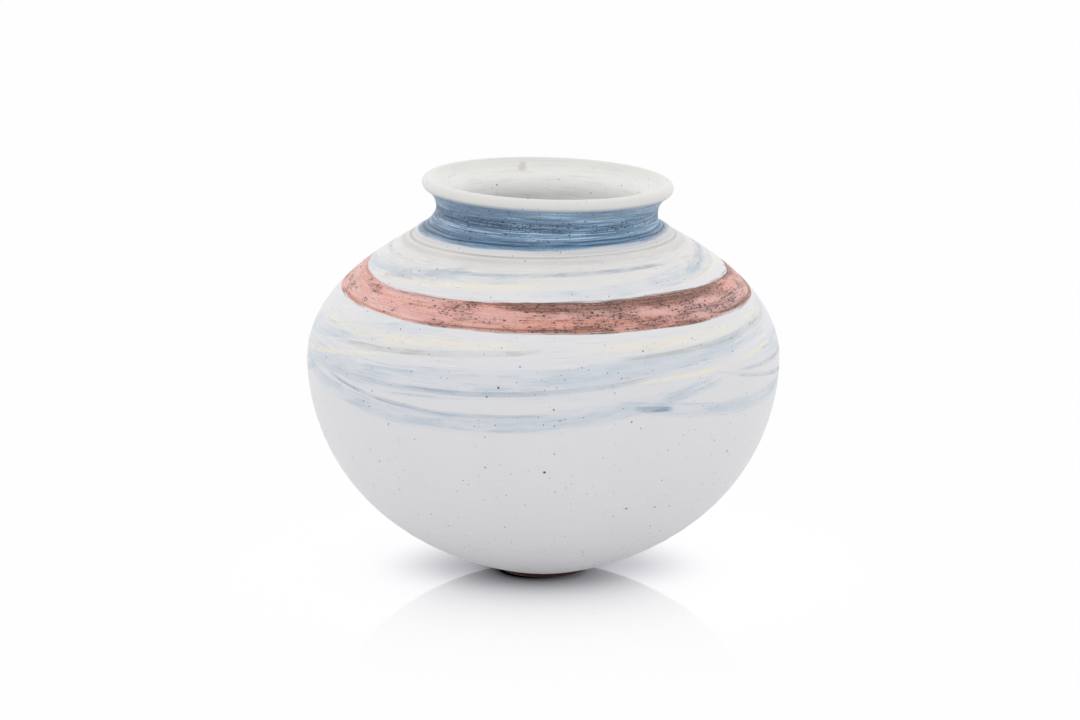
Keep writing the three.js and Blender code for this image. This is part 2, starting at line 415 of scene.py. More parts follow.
class Section:
    """Lines of the vase's section, as radius and level in metres. The sizes say what each line needs."""

    def __init__(self, sizes):
        self.sizes = sizes
        slope = sizes.shoulder_slope
        up_slope = Vector((-math.cos(slope), math.sin(slope)))
        out_of_slope = Vector((math.sin(slope), math.cos(slope)))
        run = sizes.ring_length + sizes.flat_above_ring
        neck_radius = sizes.waist_radius + sizes.cove_radius * (1 - out_of_slope.x) - run * up_slope.x
        self.neck_foot = Vector((neck_radius, neck_level))
        self.waist_level = neck_level + run * up_slope.y + sizes.cove_radius * out_of_slope.y
        lip_centre = Vector((
            sizes.waist_radius + sizes.lip_overhang - sizes.lip_rounding,
            self.waist_level + sizes.lip_rise,
        ))
        self.ring_end = self.neck_foot + up_slope * sizes.ring_length

        body = self.body_points(up_slope)
        cove_start = 1.5 * math.pi - slope
        cove = Vector((sizes.waist_radius + sizes.cove_radius, self.waist_level))
        flare = self.touching_arc(sizes.waist_radius, lip_centre, sizes.lip_rounding)
        throat = self.touching_arc(sizes.waist_radius - sizes.wall, lip_centre, -sizes.lip_rounding)
        ring_start = self.neck_foot - Vector((sizes.ring_setback, 0))
        crown = ring_start.lerp(self.ring_end, 0.5) + out_of_slope * 2 * sizes.ring_proud
        ring = quadratic(ring_start, crown, self.ring_end, RING_STEPS)
        neck = ring + arc(cove, sizes.cove_radius, cove_start, math.pi, COVE_STEPS)
        neck += arc(*flare, FLARE_STEPS)[1:]
        edge = arc(lip_centre, sizes.lip_rounding, flare[3] - math.pi, throat[3], EDGE_STEPS)
        self.lip_level = edge[0].y
        self.crest_level = edge[-1].y

        lining = dished(beside(body[1:], sizes.wall))
        lining += arc(cove, sizes.cove_radius + sizes.wall, cove_start, math.pi, LINING_COVE_STEPS)
        lining += arc(*throat, THROAT_STEPS)[1:]

        self.body = marked(underside(sizes.foot_radius) + body[1:], 1, 0, self.body_relief)
        self.neck = marked(neck, 1, 0, self.neck_relief)
        self.edge = marked(edge, 1, 0, lambda here: 0)
        self.lining = marked(lining, -1, 1, self.lining_relief)

        self.belly_joint = self.joint_radius(self.body, belly_level)
        self.neck_joint = self.joint_radius(self.neck, neck_level)
        self.lip_joint = self.joint_radius(self.edge, self.lip_level)

    def body_points(self, up_slope):
        """Outline from the edge of the foot over the belly to the foot of the neck."""
        sizes = self.sizes
        low_height = belly_level - foot_level
        high_height = neck_level - belly_level
        foot = Vector((sizes.foot_radius, foot_level))
        belly = Vector((belly_radius, belly_level))
        foot_reach = FOOT_FULLNESS * (belly_radius - sizes.foot_radius)
        leaving = foot + foot_reach * Vector((math.cos(sizes.foot_slope), math.sin(sizes.foot_slope)))
        reaching = belly - Vector((0, UNDER_BELLY_FULLNESS * low_height))
        rising = belly + Vector((0, OVER_BELLY_FULLNESS * high_height))
        closing = self.neck_foot - up_slope * SHOULDER_FULLNESS * (belly_radius - self.neck_foot.x)
        lower = interpolate_bezier(foot, leaving, reaching, belly, LOWER_POINTS)
        upper = interpolate_bezier(belly, rising, closing, self.neck_foot, UPPER_POINTS)
        return lower + upper[1:]

    def touching_arc(self, waist_radius, lip_centre, side):
        """Centre, radius and angles of the arc that is upright at the waist and touches the lip's edge."""
        reach = lip_centre.x - waist_radius
        rise = self.sizes.lip_rise
        radius = (reach**2 + rise**2 - side**2) / (2 * (reach + side))
        centre = Vector((waist_radius + radius, self.waist_level))
        toward = lip_centre - centre
        return centre, radius, math.pi, math.atan2(toward.y, toward.x)

    def joint_radius(self, outside, level):
        """Middle of the wall over the depth of a joint."""
        top = level + self.sizes.tongue_height + self.sizes.slip_gap
        outer = min(mark_at(outside, z).place.x for z in (level, top))
        inner = max(mark_at(self.lining, z).place.x for z in (level, top))
        return (outer + inner) / 2

    def body_relief(self, here):
        above_foot = eased(here.y, foot_level, foot_level + FOOT_CALM)
        return above_foot * eased(here.y, neck_level, neck_level - SHOULDER_CALM)

    def neck_relief(self, here):
        above_ring = eased(here.y, self.ring_end.y, self.ring_end.y + RING_CALM)
        return above_ring * eased(here.y, self.lip_level, self.lip_level - LIP_CALM)

    def lining_relief(self, here):
        off_axis = eased(here.x, *AXIS_CALM)
        off_neck = eased(abs(here.y - neck_level), 0, JOINT_CALM)
        return off_axis * off_neck * eased(here.y, self.waist_level, self.waist_level - WAIST_CALM)

    def tongue(self, radius, level):
        half = self.sizes.tongue_width / 2
        top = level + self.sizes.tongue_height
        corners = [(half, level), (half, top), (-half, top), (-half, level)]
        return [hidden(radius + x, z, 0) for x, z in corners]

    def groove(self, radius, level):
        half = self.sizes.tongue_width / 2 + self.sizes.slip_gap
        top = level + self.sizes.tongue_height + self.sizes.slip_gap
        corners = [(-half, level), (-half, top), (half, top), (half, level)]
        return [hidden(radius + x, z, 1) for x, z in corners]

    def ring_of(self, outside, top, low, high, below):
        """A closed section: up its outside, over its top, down its lining and back along its underside."""
        lining = part_of(self.lining, low, high)[::-1]
        return [*outside, *top, *lining, *below, outside[0]]

    def lower_bowl(self):
        outside = [m for m in self.body if m.place.y < belly_level - MARGIN]
        lining = part_of(self.lining, self.lining[1].place.y, belly_level)[::-1]
        top = self.tongue(self.belly_joint, belly_level)
        return [*outside, mark_at(self.body, belly_level), *top, *lining, self.lining[0]]

    def upper_bowl(self):
        outside = part_of(self.body, belly_level, neck_level)
        top = self.tongue(self.neck_joint, neck_level)
        below = self.groove(self.belly_joint, belly_level)
        return self.ring_of(outside, top, belly_level, neck_level, below)

    def neck_collar(self):
        outside = part_of(self.neck, neck_level, self.lip_level)
        top = self.tongue(self.lip_joint, self.lip_level)
        below = self.groove(self.neck_joint, neck_level)
        return self.ring_of(outside, top, neck_level, self.lip_level, below)

    def rolled_lip(self):
        below = self.groove(self.lip_joint, self.lip_level)
        return self.ring_of(self.edge[:-1], [], self.lip_level, self.crest_level, below)


def quadratic(start, middle, end, steps):
    shares = [i / steps for i in range(steps + 1)]
    return [start.lerp(middle, s).lerp(middle.lerp(end, s), s) for s in shares]


def underside(radius):
    return straight(Vector((0, foot_level)), Vector((radius, foot_level)), FLAT_STEPS)


def dished(lining):
    """Starts a lining on the axis, with a floor that runs smoothly into the wall."""
    bend = next(i for i, here in enumerate(lining) if here.x > DISHED_RADIUS)
    floor_level = lining[0].y
    wall = lining[bend + 1] - lining[bend]
    control = Vector((lining[bend].x - (lining[bend].y - floor_level) * wall.x / wall.y, floor_level))
    middle = Vector((0, floor_level - DISHED_DEPTH))
    return quadratic(middle, control, lining[bend], DISHED_STEPS) + lining[bend + 1:]


def disc(radius, low, high, rounding):
    """Section of a flat disc with a rounded rim."""
    flat = radius - rounding
    points = straight(Vector((0, low)), Vector((flat, low)), FLAT_STEPS)
    points += arc(Vector((flat, low + rounding)), rounding, -math.pi / 2, 0, ROUNDING_STEPS)[1:]
    points += arc(Vector((flat, high - rounding)), rounding, 0, math.pi / 2, ROUNDING_STEPS)
    points += straight(Vector((flat, high)), Vector((0, high)), FLAT_STEPS)[1:]

    def rim_relief(here):
        off_faces = eased(here.y, low, low + rounding) * eased(here.y, high, high - rounding)
        return eased(here.x, radius * 0.8, radius) * off_faces

    return marked(points, 1, 0, rim_relief)


# Turning a section into clay


# What a tree needs to know of the neck's lean: see lean_of
LEAN_INPUTS = [
    ("Lean Start", NUMBER, 1.0), ("Lean Height", NUMBER, 1.0), ("Lean", NUMBER, 0.0),
    ("Shift", NUMBER, 0.0),
]
# Points closer than this become one, which closes the seam and the poles
WELD = 0.01 * MM
# Edges that bend more than this stay sharp
SHARP_BEND = math.radians(40)
# How fast the hand's unevenness changes, round the vase and in a metre of the section
UNEVEN_ROUND = 1.1
UNEVEN_ALONG = 14
# A fibre of length 1: where it bends, where it ends, and its radius. Then how far fibres lean, in radians
FIBRE_BEND = (0.05, 0, 0.6)
FIBRE_END = (0.5, 0, 1.0)
FIBRE_RADIUS = 0.035
FIBRE_LEAN = 0.9


def turned_clay(name):
    """Turns a section about the axis, with the hand's throwing rings and waver, and leans what lies above a
    level."""
    group = Group(name, "GeometryNodeTree", [
        ("Section", SHAPE, None), ("Sides", WHOLE, 64), ("Ring Pitch", NUMBER, 0.0075),
        ("Outside Rings", NUMBER, 0.0), ("Inside Rings", NUMBER, 0.0), ("Waver", NUMBER, 0.0), *LEAN_INPUTS,
        ("Outside", FINISH, None), ("Inside", FINISH, None),
    ], [("Clay", SHAPE)])
    section = group.given("Section")
    size = group.node("GeometryNodeAttributeDomainSize", {"Geometry": section}, component="MESH")
    count = group.wire(size, "Point Count")
    grid = group.node("GeometryNodeMeshGrid", {
        "Size X": count - 1, "Size Y": 1.0, "Vertices X": count, "Vertices Y": group.given("Sides") + 1,
    })
    column, row, _ = group.parts(group.out("GeometryNodeInputPosition"))
    from_start = column + (count - 1) * 0.5
    index = group.node("FunctionNodeFloatToInt", {"Float": from_start}, rounding_mode="ROUND")
    turn = row * (-2 * math.pi)

    def read(label, kind):
        field = group.node("GeometryNodeInputNamedAttribute", {"Name": label}, data_type=kind)
        inputs = {"Geometry": section, "Value": field, "Index": index}
        return group.out("GeometryNodeSampleIndex", inputs, data_type=kind, domain="POINT")

    radius, _, level = group.parts(read("position", "FLOAT_VECTOR"))
    facing_out, _, facing_up = group.parts(read("facing", "FLOAT_VECTOR"))
    along = read("along", "FLOAT")
    inner = read("inner", "FLOAT")
    rings = group.sine(along / group.given("Ring Pitch") * (2 * math.pi) + turn)
    cosine = group.cosine(turn)
    sine = group.sine(turn)
    around = group.vector(cosine * UNEVEN_ROUND, sine * UNEVEN_ROUND, along * UNEVEN_ALONG)
    strength = group.noise(around, 1.6, 1.0)
    stray = (group.noise(around, 0.8, 1.0) - 0.5) * group.given("Waver") * 2
    height = group.between(inner, group.given("Outside Rings"), group.given("Inside Rings"))
    relief = (rings * strength * height * 2 + stray) * read("relief", "FLOAT")
    radius = radius + facing_out * relief
    level = level + facing_up * relief

    x = radius * sine * -1
    start = group.given("Lean Start")
    rise = level - start
    share = group.ease(rise, 0, group.given("Lean Height"))
    lean = group.given("Lean") * share
    lean_sine = group.sine(lean)
    lean_cosine = group.cosine(lean)
    leant_x = x * lean_cosine + rise * lean_sine + group.given("Shift") * share
    leant_z = start + rise * lean_cosine - x * lean_sine
    place = group.vector(leant_x, radius * cosine, leant_z)

    flat = {"Geometry": grid, "Name": "inner", "Value": inner}
    stored = group.node("GeometryNodeStoreNamedAttribute", flat, data_type="FLOAT", domain="POINT")
    shaped = group.node("GeometryNodeSetPosition", {"Geometry": stored, "Position": place})
    closed = group.node("GeometryNodeMergeByDistance", {"Geometry": shaped, "Distance": WELD})
    smooth = group.node("GeometryNodeSetShadeSmooth", {"Geometry": closed}, domain="FACE")
    bend = group.out("GeometryNodeInputMeshEdgeAngle", key="Unsigned Angle")
    corner = group.node("FunctionNodeCompare", {0: bend, 1: SHARP_BEND}, operation="GREATER_THAN")
    edged = group.node("GeometryNodeSetShadeSmooth", {
        "Geometry": smooth, "Selection": corner, "Shade Smooth": False,
    }, domain="EDGE")
    realized = group.node("GeometryNodeRealizeInstances", {"Geometry": edged})
    outside = group.node("GeometryNodeSetMaterial", {
        "Geometry": realized, "Material": group.given("Outside"),
    })
    side = group.node("GeometryNodeInputNamedAttribute", {"Name": "inner"}, data_type="FLOAT")
    within = group.node("FunctionNodeCompare", {0: side, 1: 0.5}, operation="GREATER_THAN")
    inside = group.node("GeometryNodeSetMaterial", {
        "Geometry": outside, "Selection": within, "Material": group.given("Inside"),
    })
    group.give("Clay", inside)
    return group.tree


def felt_nap(name):
    """Stands short bent fibres on the rim of the felt, and presses the lowest of them against the table."""
    group = Group(name, "GeometryNodeTree", [
        ("Felt", SHAPE, None), ("Fibres per m2", NUMBER, 1.2e7), ("Shortest", NUMBER, 0.25 * MM),
        ("Longest", NUMBER, 0.7 * MM), ("Rim", NUMBER, 0.015), ("Underside", NUMBER, 0.1 * MM),
        ("Pressed Below", NUMBER, 0.15 * MM), ("Finish", FINISH, None), ("Seed", WHOLE, 7),
    ], [("Napped", SHAPE)])
    seed = group.given("Seed")
    x, y, z = group.parts(group.out("GeometryNodeInputPosition"))
    radius = group.math("SQRT", x * x + y * y)
    on_rim = group.math("GREATER_THAN", radius, group.given("Rim"))
    off_floor = group.math("GREATER_THAN", z, group.given("Underside"))
    spots = group.node("GeometryNodeDistributePointsOnFaces", {
        "Mesh": group.given("Felt"), "Selection": on_rim * off_floor,
        "Density": group.given("Fibres per m2"), "Seed": seed,
    }, distribute_method="RANDOM")
    line = group.node("GeometryNodeCurveQuadraticBezier", {
        "Resolution": 3, "Start": (0, 0, 0), "Middle": FIBRE_BEND, "End": FIBRE_END,
    })
    ring = group.node("GeometryNodeCurvePrimitiveCircle", {"Resolution": 3, "Radius": FIBRE_RADIUS})
    fibre = group.node("GeometryNodeCurveToMesh", {"Curve": line, "Profile Curve": ring, "Fill Caps": True})
    spin = group.node("FunctionNodeRandomValue", {
        "Min": (-FIBRE_LEAN, -FIBRE_LEAN, -math.pi), "Max": (FIBRE_LEAN, FIBRE_LEAN, math.pi), "Seed": seed,
    }, data_type="FLOAT_VECTOR")
    turned = group.node("FunctionNodeRotateEuler", {
        "Rotation": group.wire(spots, "Rotation"), "Rotate By": spin,
    }, space="LOCAL")
    length_range = {2: group.given("Shortest"), 3: group.given("Longest"), "Seed": seed + 1}
    scale = group.out("FunctionNodeRandomValue", length_range, 1, data_type="FLOAT")
    fibres = group.node("GeometryNodeInstanceOnPoints", {
        "Points": spots, "Instance": fibre, "Rotation": turned, "Scale": scale,
    })
    single = group.node("GeometryNodeRealizeInstances", {"Geometry": fibres})
    soft = group.given("Pressed Below")
    pressed = soft * group.math("EXPONENT", z / soft - 1)
    rest = z + (pressed - z) * group.math("LESS_THAN", z, soft)
    laid = group.node("GeometryNodeSetPosition", {"Geometry": single, "Position": group.vector(x, y, rest)})
    both = group.node("GeometryNodeJoinGeometry")
    group.fill(both.inputs[0], group.given("Felt"))
    group.fill(both.inputs[0], laid)
    realized = group.node("GeometryNodeRealizeInstances", {"Geometry": both})
    dyed = group.node("GeometryNodeSetMaterial", {"Geometry": realized, "Material": group.given("Finish")})
    group.give("Napped", dyed)
    return group.tree


def section_mesh(name, marks):
    """A line of vertices that carries each mark's facing, distance along, relief and side."""
    mesh = bpy.data.meshes.new(name)
    vertices = [(m.place.x, 0, m.place.y) for m in marks]
    mesh.from_pydata(vertices, [(i, i + 1) for i in range(len(marks) - 1)], [])
    facing = mesh.attributes.new("facing", "FLOAT_VECTOR", "POINT")
    facing.data.foreach_set("vector", [n for m in marks for n in (m.facing.x, 0, m.facing.y)])
    for label in ("along", "relief", "inner"):
        values = mesh.attributes.new(label, "FLOAT", "POINT")
        values.data.foreach_set("value", [getattr(m, label) for m in marks])
    return mesh


def add_nodes(piece, make, inputs):
    """Gives a piece the tree of nodes that a function makes, and sets the tree's inputs by name."""
    tree = tree_of(make)
    modifier = piece.modifiers.new(tree.name, "NODES")
    modifier.node_group = tree
    for socket in tree.interface.items_tree:
        if socket.in_out == "INPUT" and socket.name in inputs:
            modifier[socket.identifier] = inputs[socket.name]


def lean_of(sizes):
    """Where the neck starts to lean, over what height it does, and how far it leans and shifts."""
    section = Section(sizes)
    return {
        "Lean Start": section.ring_end.y, "Lean Height": section.waist_level - section.ring_end.y,
        "Lean": sizes.neck_lean, "Shift": sizes.neck_shift,
    }


def turned_piece(context, name, marks, outside, inside, **changes):
    """A new object with a section turned about the axis, in the finishes that two functions make."""
    sizes = context.scene.vase_sizes
    piece = bpy.data.objects.new(name, section_mesh(name, marks))
    context.scene.collection.objects.link(piece)
    inputs = {
        "Sides": sizes.sides, "Ring Pitch": sizes.ring_pitch, "Outside Rings": sizes.outside_rings,
        "Inside Rings": sizes.inside_rings, "Waver": sizes.waver,
        "Outside": finish_of(outside, context), "Inside": finish_of(inside, context),
    }
    add_nodes(piece, turned_clay, inputs | lean_of(sizes) | changes)
    return piece


def make_plain(piece):
    """Replaces a piece's mesh by what its modifiers make of it, and takes them off."""
    graph = bpy.context.evaluated_depsgraph_get()
    mesh = bpy.data.meshes.new_from_object(piece.evaluated_get(graph), depsgraph=graph)
    line = piece.data
    piece.modifiers.clear()
    piece.data = mesh
    bpy.data.meshes.remove(line)
    mesh.name = piece.name
    if mesh.materials[0] is None:
        mesh.materials.pop(index=0)


def stand_for(piece, node):
    """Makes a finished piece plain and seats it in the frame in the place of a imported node."""
    make_plain(piece)
    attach(piece, BODY)
    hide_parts(node)


# Shader groups


# How far slip that lies there pushes a brush aside, round the vase in radians and up in millimetres
PUSHED_ROUND = 0.003
PUSHED_UP = 0.15
# What sets the streaks of one seed apart from those of the next, in millimetres
SEED_STEP = 7.3


def place_on_the_vase(name):
    """Where a point lies on the vase: the turn from the front, the level and radius in millimetres on the
    straightened neck, and the place in the clay in millimetres."""
    outputs = [("Turn", NUMBER), ("Level", NUMBER), ("Radius", NUMBER), ("Clay", PLACE)]
    group = Group(name, "ShaderNodeTree", LEAN_INPUTS, outputs)
    here = group.out("ShaderNodeTexCoord", key="Object")
    x, y, z = group.parts(here)
    start = group.given("Lean Start")
    height = group.given("Lean Height")
    first_lean = group.given("Lean") * group.ease(z - start, 0, height)
    rise = z + x * group.sine(first_lean) - start
    share = group.ease(rise, 0, height)
    lean = group.given("Lean") * share
    sine = group.sine(lean)
    cosine = group.cosine(lean)
    moved = x - group.given("Shift") * share
    straight_x = moved * cosine - (z - start) * sine
    level = (start + moved * sine + (z - start) * cosine) / MM
    group.give("Turn", group.math("ARCTAN2", straight_x, y * -1))
    group.give("Level", level)
    group.give("Radius", group.math("SQRT", straight_x * straight_x + y * y) / MM)
    group.give("Clay", group.scaled(here, 1 / MM))
    return group.tree


def bristle_streaks(name):
    """Streaks that a brush leaves as it goes round the vase, fine across its way and long along it. Across
    is in millimetres, and Breaks says how often the streaks change in a turn."""
    group = Group(name, "ShaderNodeTree", [
        ("Turn", NUMBER, 0.0), ("Across", NUMBER, 0.0), ("Fineness", NUMBER, 1.0), ("Breaks", NUMBER, 2.0),
        ("Seed", NUMBER, 0.0),
    ], [("Streak", NUMBER), ("Broad", NUMBER)])
    turn = group.given("Turn")
    breaks = group.given("Breaks")
    across = group.given("Across") * group.given("Fineness") + group.given("Seed") * SEED_STEP
    fine = group.noise(group.ring(turn, breaks, across), 1.0, 3.0, 0.65)
    broad = group.noise(group.ring(turn, breaks * 0.6, across * 0.3 + 11), 1.0, 1.0)
    group.give("Streak", group.ease(fine, 0.28, 0.72))
    group.give("Broad", group.ease(broad, 0.3, 0.7))
    return group.tree


def brush_strokes(name):
    """Strokes of a brush, spread evenly round the vase, each a little unlike the next. Reach is in radians.
    At, Dip, Climb and Width, which is a half width, are in millimetres."""
    group = Group(name, "ShaderNodeTree", [
        ("Turn", NUMBER, 0.0), ("Level", NUMBER, 0.0), ("Laid", NUMBER, 0.0), ("First", NUMBER, 0.0),
        ("Count", NUMBER, 3.0), ("Reach", NUMBER, 1.0), ("At", NUMBER, 100.0), ("Dip", NUMBER, 0.0),
        ("Climb", NUMBER, 0.0), ("Width", NUMBER, 3.0), ("Dryness", NUMBER, 0.5), ("Seed", NUMBER, 0.0),
    ], [("Cover", NUMBER), ("Line", NUMBER)])
    seed = group.given("Seed")
    count = group.given("Count")
    turn = group.given("Turn") + group.given("Laid") * PUSHED_ROUND
    level = group.given("Level") - group.given("Laid") * PUSHED_UP
    share_of_turn = (turn - group.given("First")) * count / (2 * math.pi)
    which = group.math("ROUND", share_of_turn)
    number = group.math("WRAP", which, count - 0.5, -0.5)
    dice = group.out("ShaderNodeTexWhiteNoise", {"W": number + seed * 9.0}, "Color", noise_dimensions="1D")
    first_die, second_die, third_die = group.parts(dice)
    away = (share_of_turn - which) * (2 * math.pi) / count
    share = away / group.given("Reach") + (first_die - 0.5) * 0.2
    inside = 1 - share * share
    path = group.given("At") + group.given("Climb") * share * (0.6 + 0.8 * second_die)
    path = path - group.given("Dip") * inside * (0.75 + 0.5 * third_die) + (first_die - 0.5) * 1.2
    slow_sway = group.sine(away * 3.1 + seed * 5.0) * 0.5
    sway = slow_sway + group.sine(away * 7.3 + seed * 3.0) * 0.25
    offset = level - path - sway * group.given("Width") * 0.22
    bristles = streaks(group, turn, offset, 1.0, 3.0, seed)
    streak = bristles["Streak"]
    pool = group.noise(group.ring(turn, 6, offset * 0.3 + seed * 3), 1.0, 3.0, 0.6)
    taper = 0.5 + 0.5 * group.math("SQRT", group.larger(inside, 0.0))
    ragged = (streak - 0.5) * 0.35 + (pool - 0.5) * 0.9
    edge = abs(offset / (group.given("Width") * taper)) + ragged
    ends = group.ease(inside + (streak - 0.5) * 0.5 + (pool - 0.5) * 0.8, 0.0, 0.6)
    body = group.ease(edge, 1.2, 0.55) * ends
    patchy = 1 - group.given("Dryness") * group.between(0.5, bristles["Broad"], streak)
    wet = 0.5 + 0.8 * group.ease(pool, 0.34, 0.68)
    ridge = group.between(group.ease(edge, 0.5, 0.8), 0.3, 1.0) * group.ease(streak, 0.55, 0.05)
    group.give("Cover", group.math("MULTIPLY", body * patchy, wet, clamp=True))
    group.give("Line", ridge * body * group.ease(pool, 0.44, 0.6))
    return group.tree


def iron_specks(name):
    """Round specks of iron that have burnt through the glaze. Size is the radius of the largest."""
    group = Group(name, "ShaderNodeTree", [
        ("Place", PLACE, None), ("Spacing", NUMBER, 4.0), ("Size", NUMBER, 0.4), ("Share", NUMBER, 0.3),
    ], [("Speck", NUMBER)])
    spacing = group.given("Spacing")
    cells = group.node("ShaderNodeTexVoronoi", {
        "Vector": group.given("Place"), "Scale": 1 / spacing,
    }, voronoi_dimensions="3D", feature="F1")
    chance, size, _ = group.parts(group.wire(cells, "Color"))
    reach = group.given("Size") / spacing * (0.4 + 0.6 * size)
    spot = group.ease(group.wire(cells, "Distance"), reach, reach * 0.6)
    group.give("Speck", spot * group.math("LESS_THAN", chance, group.given("Share")))
    return group.tree


def satin_glaze(name):
    """Body of the satin glaze: its tone, its roughness and the height of its skin."""
    group = Group(name, "ShaderNodeTree", [
        ("Clay", PLACE, None), ("Turn", NUMBER, 0.0), ("Level", NUMBER, 0.0),
        ("Glaze", COLOUR, (1, 1, 1, 1)),
    ], [("Colour", COLOUR), ("Roughness", NUMBER), ("Height", NUMBER)])
    clay = group.given("Clay")
    cloud = group.noise(clay, 0.035, 2.0)
    mottle = group.noise(clay, 0.5, 3.0, 0.6)
    grain = group.noise(clay, 2.4, 2.0, 0.6)
    rings = group.noise(group.ring(group.given("Turn"), 0.7, group.given("Level") * 0.75), 1.0, 3.0, 0.6)
    tone = 1 + (cloud - 0.5) * 0.05 + (mottle - 0.5) * 0.035 + (grain - 0.5) * 0.03 + (rings - 0.5) * 0.03
    grey = group.out("ShaderNodeCombineColor", {0: tone, 1: tone, 2: tone})
    group.give("Colour", group.tint(1.0, group.given("Glaze"), grey, "MULTIPLY"))
    group.give("Roughness", 0.42 + (mottle - 0.5) * 0.12 + (cloud - 0.5) * 0.1)
    group.give("Height", mottle * 0.5 + grain * 0.12 + rings * 0.9)
    return group.tree


# Brushwork


class Strokes(NamedTuple):
    """Like strokes that go once round the vase: their slip, how many there are, the middle of the first and
    the reach of each in degrees, then level, dip, climb and half width in millimetres, strength and
    dryness."""

    slip: str
    count: int
    first: float
    reach: float
    level: float
    dip: float
    climb: float
    width: float
    strength: float
    dryness: float


# Each slip where it lies thin, and where the brush has left a ridge of it
SLIPS = {
    "pale": (fired(187, 198, 209), fired(146, 160, 174)),
    "slate": (fired(146, 160, 176), fired(104, 122, 142)),
    "sky": (fired(118, 144, 168), fired(70, 102, 130)),
    "cream": (fired(232, 225, 206), fired(196, 188, 162)),
    "moss": (fired(166, 170, 156), fired(120, 124, 104)),
    "coral": (fired(222, 160, 148), fired(112, 64, 54)),
    "blush": (fired(214, 168, 166), fired(126, 78, 72)),
}

BELLY_ARCS = (
    Strokes("pale", 2, -14, 70, 93.5, 17.0, 2.0, 3.9, 0.9, 0.7),
    Strokes("pale", 2, 64, 62, 93.0, 12.0, 5.0, 3.2, 0.8, 0.75),
    Strokes("sky", 3, -38, 40, 90.6, 5.0, -4.0, 0.9, 0.6, 0.8),
    Strokes("sky", 3, 27, 6, 84.4, 0.3, -1.0, 1.2, 0.8, 0.8),
)
BELLY_WASHES = (
    Strokes("pale", 2, -30, 86, 99.0, 2.5, 3.0, 6.2, 0.72, 0.8),
    Strokes("pale", 3, 42, 54, 106.0, 2.0, 7.0, 3.8, 0.72, 0.8),
    Strokes("cream", 4, -42, 42, 109.6, 1.0, 1.6, 2.2, 0.8, 0.7),
    Strokes("moss", 4, -36, 36, 106.6, 1.0, 2.2, 1.2, 0.7, 0.8),
    Strokes("cream", 3, 50, 30, 97.8, 1.0, 4.4, 1.1, 0.8, 0.6),
    Strokes("slate", 3, -20, 52, 96.5, 3.5, 3.0, 1.1, 0.6, 0.8),
)
SHOULDER_WASHES = (
    Strokes("cream", 3, -34, 38, 128.6, 0.6, 1.2, 1.6, 0.8, 0.7),
    Strokes("pale", 3, -46, 46, 131.4, 0.8, 2.2, 2.3, 0.7, 0.8),
    Strokes("slate", 3, -46, 20, 130.4, 0.0, 3.4, 1.6, 0.6, 0.7),
    Strokes("sky", 3, 12, 56, 132.2, -0.9, 0.8, 0.7, 0.55, 0.9),
    Strokes("pale", 3, 32, 44, 129.0, 0.6, 2.0, 1.9, 0.65, 0.8),
)
# Levels here are from the middle of the band
BAND_STROKES = (
    Strokes("coral", 3, 60, 40, 0.6, 0.6, 3.2, 2.6, 0.8, 0.45),
    Strokes("blush", 3, -62, 46, -0.8, 0.4, -2.4, 2.2, 0.75, 0.5),
)

# The salmon band in millimetres: its level, how much lower it lies in front and to the right, its half
# width, and how far both wander
BAND_LEVEL = 121.5
BAND_DIP = 2.4
BAND_TILT = 0.9
BAND_HALF = 4.95
BAND_WANDER = 0.45
# Turns from the front, in radians, at which the band has most iron and at which rust reaches furthest down
HEAVY_TURN = 0.75
WEDGE_TURN = 0.4
DRY_SALMON = fired(234, 198, 188)
OCHRE_EDGE = fired(178, 112, 78)
RUST_GRIT = fired(72, 38, 34)

# Levels between which a glaze or slip of the shoulder and the body comes in, in millimetres
WARM_SHOULDER = (122.0, 134.0)
SWEPT_BODY = (84.0, 98.0)
WARM_WHITE = fired(226, 219, 208)
SWEPT_LIGHT = fired(236, 232, 224)
SWEPT_DARK = fired(160, 162, 166)

# Grooves at the foot of the neck: level from the joint and half width in millimetres, and colour
SHOULDER_GROOVES = ((-0.1, 0.5, fired(168, 160, 150)), (-1.7, 1.1, fired(194, 190, 184)))
RING_GROOVES = ((1.2, 0.9, fired(194, 188, 180)), (0.0, 0.3, fired(168, 160, 150)))

# Levels in millimetres between which the neck's blue comes in, fades out, turns pale and lies thin, and
# between which the glaze under it turns ivory
BLUE_FOOT = (139.9, 141.1)
BLUE_TOP = (156.4, 155.0)
PALE_BLUE = (149.8, 153.5)
BARE_BLUE = (149.0, 153.0)
IVORY_NECK = (152.0, 156.0)
# Belts of the neck: their middle level and half width in millimetres
THIN_BELT = (145.0, 2.2)
HEAVY_BELT = (148.0, 2.6)
LOW_LINE = (141.5, 0.45)
HIGH_LINE = (142.7, 0.35)
# Turn from the front, in radians, at which the neck is darkest
DARK_TURN = -1.0
BRUSHED_BLUE = fired(158, 182, 206)
WASHED_BLUE = fired(154, 174, 196)
CLAY_BLUE = fired(188, 216, 238)
NAVY_GRIT = fired(18, 28, 48)

# Levels of the painted shade at the top of the throat and of the lining below it, and the place of its
# stain, in millimetres
RIM_SHADE = (161.7, 160.6)
LINING_DEPTH = (161.2, 153.0)
THROAT_WASH = fired(202, 200, 194)
STAIN_X = -8.5
STAIN_LEVEL = 157.6
STAIN_RADII = (2.2, 1.0)
STAIN = fired(180, 162, 134)

# Depth of the relief that each skin shows
GLAZE_SKIN = 0.06 * MM
LIP_SKIN = 0.04 * MM
LINING_SKIN = 0.05 * MM
FELT_SKIN = 0.25 * MM
GLUE_SKIN = 0.1 * MM


def streaks(board, turn, across, fineness, breaks, seed):
    return board.use(bristle_streaks, {
        "Turn": turn, "Across": across, "Fineness": fineness, "Breaks": breaks, "Seed": seed,
    })


